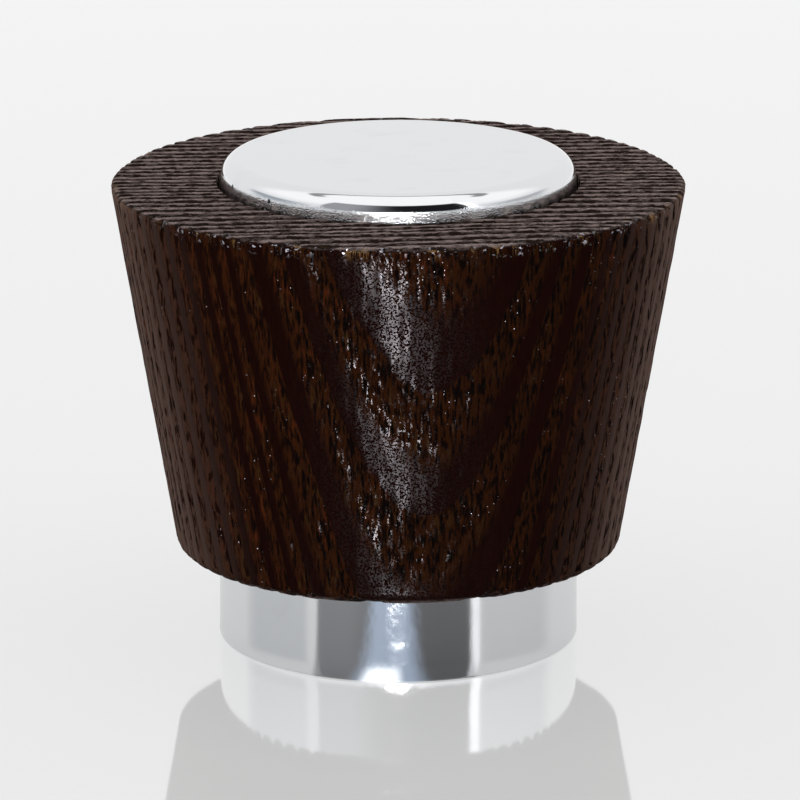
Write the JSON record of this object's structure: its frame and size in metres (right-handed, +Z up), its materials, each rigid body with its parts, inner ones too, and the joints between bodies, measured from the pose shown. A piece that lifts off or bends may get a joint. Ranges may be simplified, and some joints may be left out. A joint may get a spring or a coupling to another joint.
{
  "type": "perfume bottle cap",
  "caption": "Tapered, wire-brushed dark wooden sleeve on a polished metal shell that shows as a disc above and a collar below, with a plug inside that grips a spray pump.",
  "frame": {"origin": "centre of the shell's foot, where the cap stands", "axes": "+Z up along the cap's axis, out of its closed top; -Y is the front, towards the camera of the picture; growth rings of the wood stand across Y"},
  "size_m": [0.0395, 0.0394, 0.0339],
  "materials": {
    "stained_wood": "wire-brushed open grain, dark brown stain, satin lacquer",
    "polished_aluminium": "polished and clear anodised",
    "polypropylene": "as moulded, natural white"
  },
  "bodies": {
    "root": {"wooden_sleeve": "stained_wood", "aluminium_shell": "polished_aluminium", "inner_plug": "polypropylene"}
  },
  "joints": []
}
